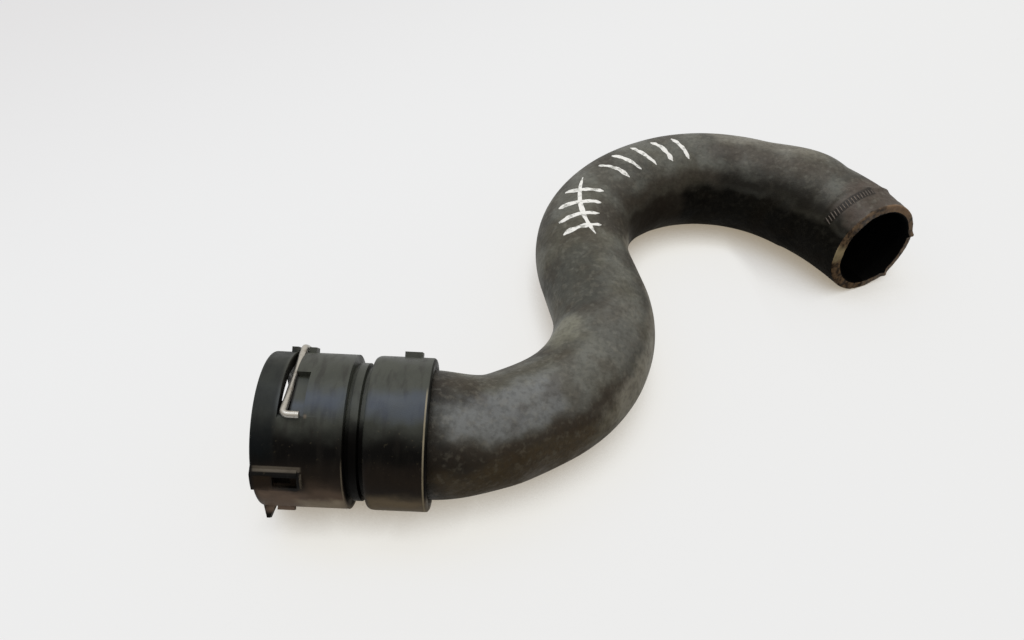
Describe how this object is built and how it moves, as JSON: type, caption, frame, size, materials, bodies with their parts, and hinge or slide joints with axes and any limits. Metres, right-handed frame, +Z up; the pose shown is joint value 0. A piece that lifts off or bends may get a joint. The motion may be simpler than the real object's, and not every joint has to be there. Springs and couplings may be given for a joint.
{
  "type": "coolant hose",
  "caption": "Moulded S-shaped rubber coolant hose with a plastic quick coupler, wire clip and seal at its left end and a bare cut end at its right.",
  "frame": {"origin": "centre of the part's bounding box in plan, on the surface that it lies on", "axes": "+X along the coupler's axis from its mouth to the hose, +Z up from the surface, +Y away from the side where the clip's feet show"},
  "size_m": [0.2566, 0.2056, 0.052],
  "materials": {
    "hose_rubber": "matte, dusty",
    "coupler_nylon": "satin",
    "sleeve_nylon": "satin",
    "spring_steel": "drawn wire",
    "seal_rubber": "matte"
  },
  "bodies": {
    "hose_assembly": {"hose": "hose_rubber", "coupler_body": "coupler_nylon", "locking_sleeve": "sleeve_nylon", "seal_ring": "seal_rubber"},
    "clip": {"spring_clip": "spring_steel"}
  },
  "joints": [
    {"name": "clip_pull", "type": "slide", "parent": "hose_assembly", "child": "clip", "axis": [0, 1, 0], "range_m": [0, 0.015]}
  ]
}
